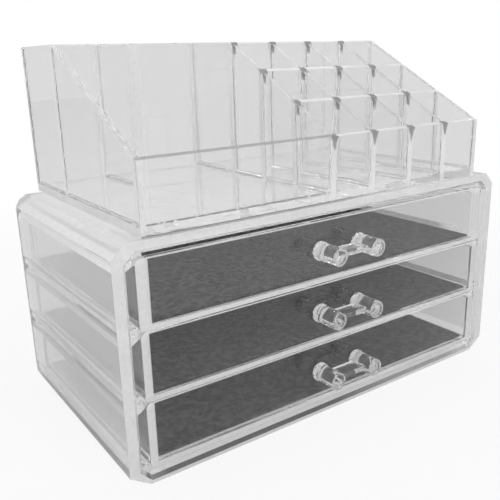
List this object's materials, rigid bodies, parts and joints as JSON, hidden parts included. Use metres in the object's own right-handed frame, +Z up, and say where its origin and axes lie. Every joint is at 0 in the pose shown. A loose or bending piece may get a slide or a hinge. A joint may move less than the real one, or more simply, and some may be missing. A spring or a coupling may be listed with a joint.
{
  "type": "makeup organizer",
  "caption": "Clear cosmetic organiser: a case with sliding drawers and post handles, and a stepped tray with lipstick slots that lifts off its top.",
  "frame": {"origin": "centre of the underside of the case, on the surface it stands on", "axes": "+Z up, -Y towards the front where the handles are, +X to the right as seen from the front"},
  "size_m": [0.24, 0.148, 0.1875],
  "materials": {
    "clear_plastic": "polished clear acrylic",
    "clear_handle": "polished clear acrylic",
    "mesh_liner": "dark woven mesh pad"
  },
  "bodies": {
    "case": {"case_shell": "clear_plastic"},
    "lower_drawer": {"drawer_lower": "clear_plastic", "handle_lower": "clear_handle", "liner_lower": "mesh_liner"},
    "middle_drawer": {"drawer_middle": "clear_plastic", "handle_middle": "clear_handle", "liner_middle": "mesh_liner"},
    "upper_drawer": {"drawer_upper": "clear_plastic", "handle_upper": "clear_handle", "liner_upper": "mesh_liner"},
    "tray": {"upper_tray": "clear_plastic"}
  },
  "joints": [
    {"name": "lower_drawer_slide", "type": "slide", "parent": "case", "child": "lower_drawer", "axis": [0, -1, 0], "range_m": [0, 0.105]},
    {"name": "middle_drawer_slide", "type": "slide", "parent": "case", "child": "middle_drawer", "axis": [0, -1, 0], "range_m": [0, 0.105]},
    {"name": "upper_drawer_slide", "type": "slide", "parent": "case", "child": "upper_drawer", "axis": [0, -1, 0], "range_m": [0, 0.105]},
    {"name": "tray_lift", "type": "slide", "parent": "case", "child": "tray", "axis": [0, 0, 1], "range_m": [0, 0.06]}
  ]
}
